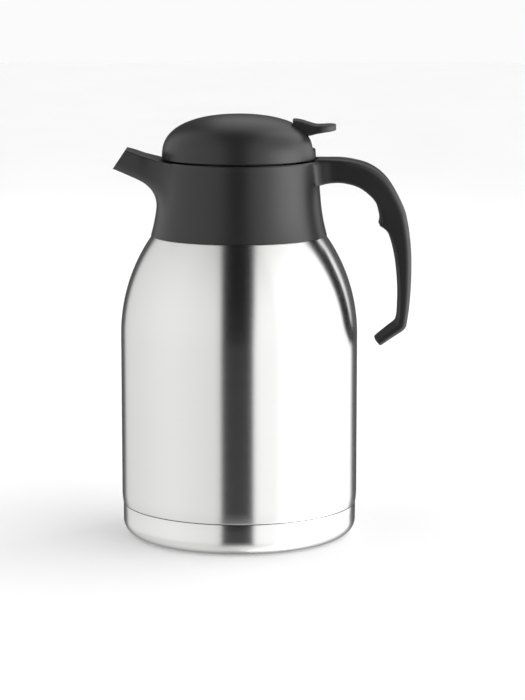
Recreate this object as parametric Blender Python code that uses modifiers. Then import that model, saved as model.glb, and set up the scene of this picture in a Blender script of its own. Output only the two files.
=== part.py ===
"""A two-litre stainless-steel vacuum jug for serving coffee.

Frame: the origin is the centre of the base, on the jug's own axis, +Z runs up that axis,
the spout points to -X and the handle to +X.  All the sizes below are in millimetres and
are turned into metres where the meshes are made.
"""

import bpy
import bmesh
from math import asin, cos, degrees, hypot, pi, radians, sin, sqrt, tan
from mathutils import Matrix, Vector

MM = 0.001
GAP = 0.3                    # clearance between touching pieces

# Steel vessel
BODY_R = 70.1                # outer radius of the straight side
SHELL_FOOT_Z = 19.4          # lower edge of the outer shell
FOOT_R = 69.6                # the shell draws in a little at its foot
FOOT_TOP_Z = 26.5
SHOULDER_Z = 120.0           # the straight side ends here
SHOULDER_R = 101.5           # radius of the shoulder's arc
SHELL_WALL = 0.6
SHELL_NECK_R = 41.0
SHELL_TOP_Z = 198.7
SHELL_CROWN_Z = 179.0        # the shoulder turns in under the collar from here
SHELL_CROWN_R = 14.0
SHELL_CROWN_ANGLE = 65.0
VACUUM_GAP = 5.1             # from the shell's outside to the liner's outside
LINER_WALL = 0.5
LINER_NECK_R = 38.6
LINER_FLOOR_Z = 16.5
LINER_CORNER_R = 12.0
LINER_CROWN_R = 8.0
LINER_CROWN_ANGLE = 60.0
LIP_Z = 199.0                # underside of the liner's lip, over the shell's rim
LIP_TOP_Z = 199.6

# Base
CUP_R = 69.4
CUP_TOP_Z = 19.0
CUP_WALL = 0.8
CUP_CORNER_R = 9.0
PLATE_R = 68.2               # vacuum base plate, inside cup and shell
PLATE_TOP_Z = 23.5
PLATE_FLOOR_Z = 8.0
PLATE_WALL = 0.8
PLATE_CORNER_R = 6.0
SEAL_PLUG_R = 9.0
SEAL_PLUG_FOOT_R = 8.0
SEAL_PLUG_DEPTH = 1.6
GETTER_X = 34.0              # a low disc on the base plate, inside the vacuum
GETTER_R = 4.5
GETTER_TOP_Z = 12.4

# Collar, spout and neck
COLLAR_TOP_Z = 223.0
COLLAR_TOP_R = 46.3
COLLAR_TAPER = radians(4.7)  # lean of the collar's straight upper part
COLLAR_FLARE_Z = 199.5       # below this the collar flares out
COLLAR_FLARE_R = 48.2
COLLAR_FLARE_ARC = 105.0
COLLAR_FOOT_Z = 179.0
FLARE_HEIGHTS = (COLLAR_FLARE_Z, 192.0, 185.0, COLLAR_FOOT_Z)
COLLAR_EDGE_R = 1.0
COLLAR_WALL = 2.2
MOUTH_R = 40.6               # hole in the collar's top
TOP_WALL = 1.6
INNER_FLARE_Z = 190.0        # below this the collar's inside follows the steel
FOOT_SEAT = [(47.4, 183.5), (50.5, 180.4), (51.4, 179.2), (53.6, 176.0)]
ABOVE_Z = 235.0              # clear of everything on the jug's neck
RING_SLEEVE_R = 40.0         # inside of the threaded neck ring
RING_OUTER_R = 42.2
RING_TOP_Z = 221.0
RING_STEP_Z = 204.7
RING_SKIRT_R = 43.4
RING_SKIRT_INNER_R = 41.5
RING_SKIRT_FOOT_Z = 190.6
RING_WINDOW = ((-50.0, -12.0, 207.0), (-30.0, 12.0, 217.6))
MOUTH_GASKET = (38.2, 41.2, 199.9, 201.2)          # inner radius, outer radius, low z, high z
LEDGE_Z = 201.5
LEDGE_TOP_Z = 203.5
LEDGE_R = 36.0
TUNNEL_BOX = ((-47.0, -13.6, 205.8), (-40.0, 13.6, 219.3))
SPOUT_ROUNDS = (2.6, 9.5)    # corner radii at the top and the bottom
CHANNEL_ROUNDS = (2.0, 5.5)

# Spout sections: top x, z, bottom x, z, half width
SPOUT_KEYS = [
    (-43.0, 222.7, -43.0, 196.0, 15.5),
    (-47.0, 223.9, -48.2, 198.0, 15.5),
    (-51.0, 225.0, -51.2, 205.0, 15.2),
    (-56.0, 226.4, -57.0, 210.7, 14.6),
    (-61.3, 228.3, -65.5, 214.3, 13.0),
    (-66.3, 229.6, -74.3, 217.8, 11.0),
]
CHANNEL_KEYS = [
    (-37.0, 217.0, -37.0, 207.5, 11.8),
    (-46.0, 217.6, -46.0, 207.6, 11.8),
    (-52.5, 221.0, -53.5, 210.6, 11.8),
    (-60.2, 225.3, -63.6, 215.7, 11.0),
    (-67.2, 228.3, -73.4, 219.1, 9.4),
    (-70.9, 230.8, -77.1, 221.6, 9.4),
]

# Handle sections: outer x, z, inner x, z, half width
HANDLE_ARM = [
    (44.0, 223.4, 44.0, 203.0, 17.5),
    (48.5, 223.6, 48.8, 207.6, 14.8),
    (54.0, 223.9, 54.5, 209.8, 14.0),
    (63.3, 223.8, 62.0, 210.2, 14.0),
    (77.5, 220.3, 71.4, 207.1, 13.9),
    (88.8, 211.1, 79.8, 199.5, 13.5),
    (96.9, 195.8, 83.1, 190.0, 12.9),
    (98.9, 188.3, 82.7, 185.2, 12.6),
]
HANDLE_GRIP = [
    (98.9, 188.3, 82.7, 185.2, 12.6),
    (100.2, 181.0, 87.8, 180.4, 12.2),
    (101.5, 168.5, 92.0, 166.7, 11.8),
    (101.5, 150.0, 94.0, 149.0, 11.1),
    (100.2, 133.5, 93.9, 133.0, 10.5),
    (98.9, 125.2, 92.9, 127.6, 10.0),
]
HANDLE_HOOK = [
    (98.9, 125.2, 92.9, 127.6, 10.0),
    (96.9, 122.5, 91.9, 126.5, 9.6),
    (90.4, 118.1, 86.6, 122.4, 9.1),
    (84.2, 113.8, 80.9, 117.7, 8.4),
    (83.2, 114.1, 81.1, 116.6, 7.4),
]
HANDLE_ROUNDS = (3.6, 1.6)   # corner radii on the outside and the finger side
HANDLE_SEAT_R = COLLAR_TOP_R + 0.6
HANDLE_SEAT_Z = 219.0
SEAT_CLEARANCE = 0.35
HANDLE_SCREW_Z = 214.0
HANDLE_SCREW_Y = 7.0
HANDLE_SCREW_X = 43.1        # underside of the head, inside the collar
HANDLE_SCREW_LINE = [(0.0, 0.0), (2.6, 0.0), (2.6, -1.3), (1.2, -1.3), (1.2, -14.0), (0.0, -14.8)]
SCREW_RECESS = (38.0, 44.7, 3.1)                   # x low, x high, radius
SCREW_WAY = (40.0, 50.0, 1.6)
HANDLE_HOLE = (40.0, 58.5, 1.5)

# Lid: stopper, deck, dome
LEAD = 15.0                  # rise of the lid for one turn
STARTS = 3
THREAD_Z = 210.0             # where the neck ring's ridges begin
THREAD_SWEEP = 160.0         # degrees covered by each ridge
RIDGE_ROOT = 2.0             # ridge width at its wall and at its crest
RIDGE_CREST = 1.2
RIDGE_ROOTED = 0.4           # how far a ridge reaches into its wall, and stands out of it
RIDGE_HEIGHT = 1.7
RIDGE_STEP = 9.0             # degrees
THREAD_START = 17.0          # degrees, between two facet edges of the walls
STOPPER_R = 37.9
STOPPER_TOP_Z = 223.9
STOPPER_STEP_Z = 206.3
PLUG_R = 33.7
PLUG_Z = 186.0
SEAT_R = 14.0                # the valve's hole in the stopper's floor
PLUG_EDGE = 1.5
FLOOR_WALL = 2.0
PLUG_WALL = 1.7
STOPPER_STEP_WALL = 2.0
STOPPER_INNER_R = 36.0
STOPPER_WINDOW = ((-50.0, -11.0, 208.7), (-25.0, 11.0, 216.8))
STOPPER_GASKET = (34.0, 37.9, 203.8, 206.0)
O_RING = (38.9, 220.6, 0.75)                       # centre radius, centre z, thickness radius
BOSS_R = 3.8
BOSS_FOOT_Z = 217.4
BOSS_HOLE_R = 1.5
BOSS_HOLE_FOOT_Z = 218.6
BOSS_SHORT = 0.05            # a boss ends just under the stopper's rim
DECK_Z = 224.2
DECK_TOP_Z = 226.0
DECK_R = 42.4
GUIDE_R = 2.8                # the stem slides in a tube of the deck
GUIDE_OUTER_R = 5.0
GUIDE_TOP_Z = 228.0
GUIDE_FLANGE_R = 8.2
GUIDE_FLANGE = 1.2
STEM_SEAL = (3.75, 229.1, 0.9)
DOME_R = 45.3
DOME_FOOT_Z = 223.9
DOME_BASE_Z = 224.0
DOME_RISE = 26.0
DOME_WALL = 1.9
DOME_RIM_Z = 225.5
DOME_EDGE = 0.4
DOME_EXPONENT_R = 2.2
DOME_EXPONENT_Z = 2.7
LID_SCREW_R = 32.5
LID_SCREW_ANGLES = (60.0, 180.0, 300.0)
LID_SCREW_LINE = [(0.0, 2.0), (2.2, 1.7), (2.8, 0.4), (2.8, 0.0), (1.2, 0.0), (1.2, -6.2), (0.0, -7.0)]
DECK_HOLE_R = 1.6
LID_AXIS_Z = 214.2           # height given for the lid's turning axis

# Lever and valve
PIVOT = (30.0, 236.0)        # lever axis, along Y
POST_FOOT = 4.5              # half length of a lever post's foot, along X
POST_TOP_R = 3.5
POST_ROOTED = 0.5
POST_SIDES = (7.9, 10.4)     # near and far face, along Y
PIN_R = 1.5
PIN_HALF = 11.2
PIN_WAY_R = 1.8
HUB_R = 4.0
HUB_HALF = 7.5
ARM_HALF = 6.0
ARM_TIP_Z = 235.8
ARM_TIP_R = 2.2
ARM_TOP = [(36.5, 239.2), (33.0, 242.6), (28.0, 240.2), (22.0, 238.0)]
ARM_UNDERSIDE = (24.0, 233.2)
STEM_FORK = ((-8.0, -3.0, 230.0), (8.0, 3.0, 242.0))
PADDLE_ROUNDS = (1.3, 1.0)
LEVER_HALF_WIDTH = 11.0
SLOT_FRONT_X = 31.25
SLOT_FLOOR_Z = 229.5
SLOT_CLEARANCE = 0.35
PADDLE_KEYS = [              # x, top z, bottom z
    (31.7, 245.9, 241.0),
    (32.6, 246.8, 240.2),
    (36.0, 246.5, 238.2),
    (41.0, 245.1, 237.9),
    (45.5, 243.8, 238.9),
    (50.0, 243.8, 239.7),
    (54.0, 244.1, 240.2),
    (57.0, 244.0, 240.8),
]
PADDLE_END_X = 47.0          # the sides are straight to here, then the end is round
PADDLE_TIP_X = 58.0
STEM_R = 2.5
SPIGOT_R = 1.5
HEAD_Z = 238.4               # underside of the stem cap
SPIGOT_LENGTH = 2.1
CAP_LINE = [(1.8, 2.4), (5.2, 2.4), (6.0, 1.6), (6.0, 0.0), (1.8, 0.0)]
DISC_HUB_R = 1.8
DISC_R = 17.5
DISC_STEP_R = 12.9
DISC_STEP = 1.5
VALVE_GASKET = (13.2, 17.2, 188.3, 189.6)
DISC_Z = 189.9
DISC_TOP_Z = 191.7
SPRING_R = 6.6
SPRING_WIRE = 0.9
SPRING_TURNS = 5
SPRING_SEAT_Z = 213.0
SPRING_FACETS = 10           # points on each turn

FINE = 40                    # facets round a large turned piece
MEDIUM = 32
COARSE = 24
SMALL = 16
TINY = 12


def clear_scene():
    for item in list(bpy.data.objects):
        bpy.data.objects.remove(item, do_unlink=True)


def new_collection(name):
    group = bpy.data.collections.new(name)
    bpy.context.scene.collection.children.link(group)
    return group


def new_material(name, colour, roughness, metallic=0.0):
    material = bpy.data.materials.new(name)
    material.use_nodes = True
    shader = material.node_tree.nodes["Principled BSDF"]
    shader.inputs["Base Color"].default_value = (*colour, 1.0)
    shader.inputs["Roughness"].default_value = roughness
    shader.inputs["Metallic"].default_value = metallic
    material.diffuse_color = (*colour, 1.0)
    return material


clear_scene()
JUG = new_collection("vacuum_jug")
CUTTERS = new_collection("cutters")
STEEL = new_material("brushed_steel", (0.62, 0.62, 0.61), 0.28, 1.0)
BRIGHT_STEEL = new_material("bright_steel", (0.70, 0.70, 0.70), 0.18, 1.0)
BLACK = new_material("black_plastic", (0.035, 0.035, 0.034), 0.42)
DARK = new_material("dark_inner_plastic", (0.06, 0.06, 0.06), 0.5)
SILICONE = new_material("grey_silicone", (0.45, 0.45, 0.44), 0.6)
GLASS_SOLDER = new_material("seal_solder", (0.25, 0.26, 0.27), 0.4)


def link(name, mesh, group, material=None):
    item = bpy.data.objects.new(name, mesh)
    group.objects.link(item)
    if material:
        mesh.materials.append(material)
    if group is CUTTERS:
        item.hide_render = True
        item.display_type = "WIRE"
    return item


def smooth(item):
    item.data.shade_smooth()
    item.data.set_sharp_from_angle(angle=radians(35.0))


def arc(centre_r, centre_z, radius, start, end, steps):
    """Points on a circle between two angles, in degrees from the +r direction."""
    points = []
    for i in range(steps + 1):
        a = radians(start + (end - start) * i / steps)
        points.append((centre_r + radius * cos(a), centre_z + radius * sin(a)))
    return points


def turned(name, profile, material=None, steps=FINE, closed=True, group=JUG):
    """A profile of (r, z) points turned about Z; it runs down its outer side."""
    mesh = bpy.data.meshes.new(name)
    verts = [(r * MM, 0.0, z * MM) for r, z in profile]
    edges = [(i, i + 1) for i in range(len(verts) - 1)]
    if closed:
        edges.append((len(verts) - 1, 0))
    mesh.from_pydata(verts, edges, [])
    item = link(name, mesh, group, material)
    screw = item.modifiers.new("turn", "SCREW")
    screw.axis = "Z"
    screw.steps = steps
    screw.render_steps = steps
    screw.use_merge_vertices = True
    screw.merge_threshold = 0.00001
    screw.use_smooth_shade = True
    return item


def flat_ring(name, size, material, steps=MEDIUM):
    inner_r, outer_r, low_z, high_z = size
    outline = [(inner_r, high_z), (outer_r, high_z), (outer_r, low_z), (inner_r, low_z)]
    turned(name, outline, material, steps)


def round_ring(name, size, material, steps=MEDIUM):
    centre_r, centre_z, radius = size
    turned(name, arc(centre_r, centre_z, radius, 0.0, -300.0, 5), material, steps)


def mesh_object(name, bm, material=None, group=JUG):
    bmesh.ops.recalc_face_normals(bm, faces=bm.faces)
    mesh = bpy.data.meshes.new(name)
    bm.to_mesh(mesh)
    bm.free()
    item = link(name, mesh, group, material)
    if group is JUG:
        smooth(item)
    return item


def loft(name, rings, material=None, group=JUG):
    """A closed skin over rings of (x, y, z) points, each with the same count."""
    bm = bmesh.new()
    rows = [[bm.verts.new(Vector(p) * MM) for p in ring] for ring in rings]
    for low, high in zip(rows, rows[1:]):
        for i in range(len(low)):
            j = (i + 1) % len(low)
            bm.faces.new((low[i], low[j], high[j], high[i]))
    bm.faces.new(rows[0])
    bm.faces.new(rows[-1])
    return mesh_object(name, bm, material, group)


def rod(name, start, end, radius, material=None, steps=SMALL, group=JUG):
    """A round bar between two points."""
    start, end = Vector(start) * MM, Vector(end) * MM
    along = end - start
    place = Matrix.Translation((start + end) / 2) @ along.to_track_quat("Z", "Y").to_matrix().to_4x4()
    bm = bmesh.new()
    bmesh.ops.create_cone(bm, cap_ends=True, segments=steps, radius1=radius * MM,
                          radius2=radius * MM, depth=along.length, matrix=place)
    return mesh_object(name, bm, material, group)


def block(name, low, high, material=None, group=CUTTERS):
    """A box between two corners."""
    low, high = Vector(low) * MM, Vector(high) * MM
    bm = bmesh.new()
    size = Matrix.Diagonal((*(high - low), 1.0))
    bmesh.ops.create_cube(bm, size=1.0, matrix=Matrix.Translation((low + high) / 2) @ size)
    return mesh_object(name, bm, material, group)


def plate_along_y(name, outline, y_low, y_high, group=CUTTERS, material=None):
    """A flat outline of (x, z) points given a thickness along Y."""
    rings = [[(x, y, z) for x, z in outline] for y in (y_low, y_high)]
    return loft(name, rings, material, group)


def combine(item, other, operation):
    modifier = item.modifiers.new(operation.lower(), "BOOLEAN")
    modifier.operation = operation
    modifier.solver = "EXACT"
    modifier.object = other


def cut(item, other):
    combine(item, other, "DIFFERENCE")


def add(item, other):
    combine(item, other, "UNION")


def through_keys(keys, steps):
    """A smooth run through key sections: Catmull-Rom on every number of the key."""
    padded = [keys[0]] + list(keys) + [keys[-1]]
    run = [tuple(keys[0])]
    for a, b, c, d in zip(padded, padded[1:], padded[2:], padded[3:]):
        for i in range(1, steps + 1):
            t = i / steps
            run.append(tuple(
                0.5 * (2 * q + (r - p) * t + (2 * p - 5 * q + 4 * r - s) * t * t
                       + (3 * q - p - 3 * r + s) * t ** 3)
                for p, q, r, s in zip(a, b, c, d)))
    return run


def section(key, outer_round, inner_round, corner_steps=3):
    """A rounded rectangle across Y, from the key's outer point to its inner point."""
    outer_x, outer_z, inner_x, inner_z, half = key
    depth = hypot(outer_x - inner_x, outer_z - inner_z)
    limit = 0.46 * min(depth, 2 * half)
    big, small = min(outer_round, limit), min(inner_round, limit)
    corners = [
        (half - big, depth - big, big, 0.0),
        (big - half, depth - big, big, 90.0),
        (small - half, small, small, 180.0),
        (half - small, small, small, 270.0),
    ]
    points = []
    for y, v, radius, start in corners:
        for side, up in arc(y, v, radius, start, start + 90.0, corner_steps):
            t = up / depth
            points.append((inner_x + (outer_x - inner_x) * t, side, inner_z + (outer_z - inner_z) * t))
    return points


def vessel_side(body, crown_r, crown_angle, neck, inset):
    """The straight side's top, the shoulder, the crown and the neck fillet, bottom to top."""
    shoulder_r = SHOULDER_R + body - BODY_R
    centre_r = body - shoulder_r
    start = asin((SHELL_CROWN_Z - SHOULDER_Z) / shoulder_r)
    end = radians(crown_angle)
    crown_centre_r = centre_r + (shoulder_r - crown_r) * cos(start)
    crown_centre_z = SHOULDER_Z + (shoulder_r - crown_r) * sin(start)
    foot_r = crown_centre_r + crown_r * cos(end)
    foot_z = crown_centre_z + crown_r * sin(end)
    fillet = (foot_r - neck) / (1.0 - cos(end))
    side = arc(centre_r, SHOULDER_Z, shoulder_r - inset, 0.0, degrees(start), 4)
    side += arc(crown_centre_r, crown_centre_z, crown_r - inset, degrees(start), crown_angle, 1)[1:]
    side += arc(foot_r + fillet * cos(end), foot_z + fillet * sin(end), fillet + inset,
                180.0 + crown_angle, 180.0, 2)[1:]
    return side


def make_outer_shell():
    outer = [(FOOT_R, SHELL_FOOT_Z), (BODY_R, FOOT_TOP_Z)]
    outer += vessel_side(BODY_R, SHELL_CROWN_R, SHELL_CROWN_ANGLE, SHELL_NECK_R, 0.0)
    outer.append((SHELL_NECK_R, SHELL_TOP_Z))
    inner = [(FOOT_R - SHELL_WALL, SHELL_FOOT_Z), (BODY_R - SHELL_WALL, FOOT_TOP_Z)]
    inner += vessel_side(BODY_R, SHELL_CROWN_R, SHELL_CROWN_ANGLE, SHELL_NECK_R, SHELL_WALL)
    inner.append((SHELL_NECK_R - SHELL_WALL, SHELL_TOP_Z))
    turned("outer_shell", outer[::-1] + inner, STEEL)


def make_inner_liner():
    body = BODY_R - VACUUM_GAP
    corner_z = LINER_FLOOR_Z + LINER_CORNER_R
    corner_r = body - LINER_CORNER_R
    outer = [(0.0, LINER_FLOOR_Z)] + arc(corner_r, corner_z, LINER_CORNER_R, 270.0, 360.0, 3)
    outer += vessel_side(body, LINER_CROWN_R, LINER_CROWN_ANGLE, LINER_NECK_R, 0.0)
    outer += [(LINER_NECK_R, LIP_Z), (SHELL_NECK_R, LIP_Z), (SHELL_NECK_R, LIP_TOP_Z)]
    inner = [(0.0, LINER_FLOOR_Z + LINER_WALL)]
    inner += arc(corner_r, corner_z, LINER_CORNER_R - LINER_WALL, 270.0, 360.0, 3)
    inner += vessel_side(body, LINER_CROWN_R, LINER_CROWN_ANGLE, LINER_NECK_R, LINER_WALL)
    inner.append((LINER_NECK_R - LINER_WALL, LIP_TOP_Z))
    turned("inner_liner", inner + outer[::-1], STEEL, MEDIUM, closed=False)


def make_base():
    corner = CUP_CORNER_R
    cup = [(CUP_R - CUP_WALL, CUP_TOP_Z), (CUP_R, CUP_TOP_Z)]
    cup += arc(CUP_R - corner, corner, corner, 0.0, -90.0, 3)
    cup += [(0.0, 0.0)]
    inner = [(0.0, CUP_WALL)] + arc(CUP_R - corner, corner, corner - CUP_WALL, -90.0, 0.0, 2)
    turned("base_cup", inner + cup, STEEL, closed=False)

    corner = PLATE_CORNER_R
    plate = [(0.0, PLATE_FLOOR_Z + PLATE_WALL)]
    plate += arc(PLATE_R - corner, PLATE_FLOOR_Z + corner, corner - PLATE_WALL, -90.0, 0.0, 2)
    plate += [(PLATE_R - PLATE_WALL, PLATE_TOP_Z), (PLATE_R, PLATE_TOP_Z)]
    plate += arc(PLATE_R - corner, PLATE_FLOOR_Z + corner, corner, 0.0, -90.0, 2)
    plate.append((0.0, PLATE_FLOOR_Z))
    turned("vacuum_base_plate", plate, STEEL, MEDIUM, closed=False)

    top = PLATE_FLOOR_Z - GAP
    foot = top - SEAL_PLUG_DEPTH
    turned("vacuum_seal_plug", [(0.0, top), (SEAL_PLUG_R, top), (SEAL_PLUG_FOOT_R, foot), (0.0, foot)],
           GLASS_SOLDER, SMALL, closed=False)
    ends = ((GETTER_X, 0.0, PLATE_FLOOR_Z + PLATE_WALL + GAP), (GETTER_X, 0.0, GETTER_TOP_Z))
    rod("getter", *ends, GETTER_R, BRIGHT_STEEL)


def collar_radius(z):
    """Outer radius of the collar: a lean cone that flares out at its foot."""
    if z >= COLLAR_FLARE_Z:
        return COLLAR_FLARE_R - (z - COLLAR_FLARE_Z) * tan(COLLAR_TAPER)
    centre_r = COLLAR_FLARE_R + COLLAR_FLARE_ARC * cos(COLLAR_TAPER)
    centre_z = COLLAR_FLARE_Z + COLLAR_FLARE_ARC * sin(COLLAR_TAPER)
    return centre_r - sqrt(COLLAR_FLARE_ARC ** 2 - (centre_z - z) ** 2)


def make_collar():
    edge = COLLAR_EDGE_R
    profile = [(0.0, COLLAR_TOP_Z), (COLLAR_TOP_R - edge, COLLAR_TOP_Z)]
    profile += arc(COLLAR_TOP_R - edge, COLLAR_TOP_Z - edge, edge, 60.0, 0.0, 2)
    profile += [(collar_radius(z), z) for z in FLARE_HEIGHTS]
    profile.append((0.0, COLLAR_FOOT_Z))
    collar = turned("collar", profile, BLACK, closed=False)
    spout = [section(key, *SPOUT_ROUNDS, 4) for key in through_keys(SPOUT_KEYS, 2)]
    add(collar, loft("spout_form", spout, group=CUTTERS))

    # The inside: a hole in the top, the wall's inner face, and a foot that follows the steel.
    top = COLLAR_TOP_Z - TOP_WALL
    inside = [(0.0, ABOVE_Z), (MOUTH_R, ABOVE_Z), (MOUTH_R, top), (COLLAR_TOP_R - COLLAR_WALL, top)]
    inside += [(collar_radius(z) - COLLAR_WALL, z) for z in (COLLAR_FLARE_Z, INNER_FLARE_Z)]
    inside += FOOT_SEAT + [(0.0, FOOT_SEAT[-1][1])]
    cut(collar, turned("collar_inside", inside, closed=False, group=CUTTERS))

    tunnel = block("pour_tunnel", *TUNNEL_BOX)
    ring_r = RING_OUTER_R + GAP
    cut(tunnel, rod("tunnel_end", (0, 0, LEDGE_Z), (0, 0, ABOVE_Z), ring_r, steps=FINE, group=CUTTERS))
    add(collar, tunnel)
    channel = [section(key, *CHANNEL_ROUNDS, 4) for key in through_keys(CHANNEL_KEYS, 2)]
    cut(collar, loft("pour_channel", channel, group=CUTTERS))

    for y in (-HANDLE_SCREW_Y, HANDLE_SCREW_Y):
        for name, (start, end, radius) in (("screw_recess", SCREW_RECESS), ("screw_way", SCREW_WAY)):
            ends = ((start, y, HANDLE_SCREW_Z), (end, y, HANDLE_SCREW_Z))
            cut(collar, rod(name, *ends, radius, group=CUTTERS))


def helix_ridge(name, wall_r, crest_r, start_angle, start_z):
    """One thread ridge: a trapezium swept round and up; its root lies inside the wall."""
    rings = []
    count = round(THREAD_SWEEP / RIDGE_STEP)
    for i in range(count + 1):
        turn = THREAD_SWEEP * i / count
        angle = radians(start_angle + turn)
        z = start_z + LEAD * turn / 360.0
        corners = (
            (wall_r, -RIDGE_ROOT), (crest_r, -RIDGE_CREST), (crest_r, RIDGE_CREST), (wall_r, RIDGE_ROOT),
        )
        rings.append([(r * cos(angle), r * sin(angle), z + dz / 2) for r, dz in corners])
    return loft(name, rings, group=CUTTERS)


def add_thread(item, name, wall_r, outward, rise):
    """Three ridges on a wall; outward is 1 for a ridge outside it and -1 for one inside."""
    root_r = wall_r - outward * RIDGE_ROOTED
    crest_r = wall_r + outward * RIDGE_HEIGHT
    for k in range(STARTS):
        angle = THREAD_START + 360.0 * k / STARTS
        add(item, helix_ridge(f"{name}_{k}", root_r, crest_r, angle, THREAD_Z + rise))


def make_neck_ring():
    profile = [
        (RING_SLEEVE_R, RING_TOP_Z), (RING_OUTER_R, RING_TOP_Z), (RING_OUTER_R, RING_STEP_Z),
        (RING_SKIRT_R, LEDGE_TOP_Z), (RING_SKIRT_R, RING_SKIRT_FOOT_Z),
        (RING_SKIRT_INNER_R, RING_SKIRT_FOOT_Z), (RING_SKIRT_INNER_R, LEDGE_Z),
        (LEDGE_R, LEDGE_Z), (LEDGE_R, LEDGE_TOP_Z), (RING_SLEEVE_R, LEDGE_TOP_Z),
    ]
    ring = turned("neck_ring", profile, DARK)
    add_thread(ring, "female_ridge", RING_SLEEVE_R, -1, 0.0)
    cut(ring, block("ring_window", *RING_WINDOW))
    flat_ring("mouth_gasket", MOUTH_GASKET, SILICONE)


def make_handle():
    run = through_keys(HANDLE_ARM, 2) + through_keys(HANDLE_GRIP, 2)[1:] + through_keys(HANDLE_HOOK, 1)[1:]
    handle = loft("handle", [section(key, *HANDLE_ROUNDS) for key in run], BLACK)

    profile = [(0.0, ABOVE_Z), (HANDLE_SEAT_R, ABOVE_Z), (HANDLE_SEAT_R, HANDLE_SEAT_Z)]
    profile += [(collar_radius(z) + SEAT_CLEARANCE, z) for z in (COLLAR_FLARE_Z, INNER_FLARE_Z)]
    profile.append((0.0, INNER_FLARE_Z))
    cut(handle, turned("handle_seat", profile, closed=False, group=CUTTERS))

    z = HANDLE_SCREW_Z
    start, end, radius = HANDLE_HOLE
    for n, y in enumerate((-HANDLE_SCREW_Y, HANDLE_SCREW_Y), start=1):
        cut(handle, rod("handle_hole", (start, y, z), (end, y, z), radius, group=CUTTERS))
        screw = turned(f"handle_screw_{n}", HANDLE_SCREW_LINE, BRIGHT_STEEL, TINY, closed=False)
        screw.location = Vector((HANDLE_SCREW_X, y, z)) * MM
        screw.rotation_euler = (0.0, -pi / 2, 0.0)


def lid_screw_places():
    for angle in LID_SCREW_ANGLES:
        yield LID_SCREW_R * cos(radians(angle)), LID_SCREW_R * sin(radians(angle))


def make_stopper():
    floor_top = PLUG_Z + FLOOR_WALL
    step_top = STOPPER_STEP_Z + STOPPER_STEP_WALL
    profile = [
        (STOPPER_INNER_R, STOPPER_TOP_Z), (STOPPER_R, STOPPER_TOP_Z), (STOPPER_R, STOPPER_STEP_Z),
        (PLUG_R, STOPPER_STEP_Z), (PLUG_R, PLUG_Z + PLUG_EDGE), (PLUG_R - PLUG_EDGE, PLUG_Z),
        (SEAT_R, PLUG_Z), (SEAT_R, floor_top), (PLUG_R - PLUG_WALL, floor_top), (PLUG_R - PLUG_WALL, step_top),
        (STOPPER_INNER_R, step_top),
    ]
    stopper = turned("stopper_body", profile, DARK)
    add_thread(stopper, "male_ridge", STOPPER_R, 1, LEAD / STARTS / 2)
    cut(stopper, block("stopper_window", *STOPPER_WINDOW))
    for x, y in lid_screw_places():
        boss_ends = ((x, y, BOSS_FOOT_Z), (x, y, STOPPER_TOP_Z - BOSS_SHORT))
        hole_ends = ((x, y, BOSS_HOLE_FOOT_Z), (x, y, DECK_TOP_Z))
        add(stopper, rod("screw_boss", *boss_ends, BOSS_R, group=CUTTERS))
        cut(stopper, rod("boss_hole", *hole_ends, BOSS_HOLE_R, group=CUTTERS))

    flat_ring("stopper_gasket", STOPPER_GASKET, SILICONE)
    round_ring("stopper_o_ring", O_RING, SILICONE)


def make_deck():
    flange_top = SPRING_SEAT_Z + GUIDE_FLANGE
    profile = [
        (GUIDE_R, GUIDE_TOP_Z), (GUIDE_OUTER_R, GUIDE_TOP_Z), (GUIDE_OUTER_R, DECK_TOP_Z),
        (DECK_R, DECK_TOP_Z), (DECK_R, DECK_Z), (GUIDE_OUTER_R, DECK_Z), (GUIDE_OUTER_R, flange_top),
        (GUIDE_FLANGE_R, flange_top), (GUIDE_FLANGE_R, SPRING_SEAT_Z), (GUIDE_R, SPRING_SEAT_Z),
    ]
    deck = turned("stopper_deck", profile, DARK, MEDIUM)
    pivot_x, pivot_z = PIVOT
    foot_z = DECK_TOP_Z - POST_ROOTED
    post = [(pivot_x - POST_FOOT, foot_z)] + arc(pivot_x, pivot_z, POST_TOP_R, 180.0, 0.0, 6)
    post.append((pivot_x + POST_FOOT, foot_z))
    for side in (-1, 1):
        near, far = sorted(side * y for y in POST_SIDES)
        add(deck, plate_along_y("lever_post", post, near, far))
    pin_ends = ((pivot_x, -PIN_HALF, pivot_z), (pivot_x, PIN_HALF, pivot_z))
    cut(deck, rod("pin_way", *pin_ends, PIN_WAY_R, group=CUTTERS))
    rod("lever_pin", *pin_ends, PIN_R, BRIGHT_STEEL)

    # The screws turn with the lid, so they hang from an empty on the lid's axis.
    lid_axis = bpy.data.objects.new("lid_axis", None)
    JUG.objects.link(lid_axis)
    lid_axis.location = (0.0, 0.0, LID_AXIS_Z * MM)
    for n, (x, y) in enumerate(lid_screw_places(), start=1):
        cut(deck, rod("deck_hole", (x, y, STOPPER_TOP_Z), (x, y, GUIDE_TOP_Z), DECK_HOLE_R, group=CUTTERS))
        screw = turned(f"lid_screw_{n}", LID_SCREW_LINE, BRIGHT_STEEL, TINY, closed=False)
        screw.parent = lid_axis
        screw.location = Vector((x, y, DECK_TOP_Z + GAP - LID_AXIS_Z)) * MM

    round_ring("stem_seal", STEM_SEAL, SILICONE, SMALL)


def dome_line(shrink, steps):
    """The dome from its apex down to its rim: a flattened superellipse."""
    points = []
    for i in range(steps + 1):
        t = radians(90.0 - 90.0 * i / steps)
        r = (DOME_R - shrink) * max(cos(t), 0.0) ** (2 / DOME_EXPONENT_R)
        z = DOME_BASE_Z + (DOME_RISE - shrink) * sin(t) ** (2 / DOME_EXPONENT_Z)
        points.append((r if i else 0.0, z))
    return points


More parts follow.
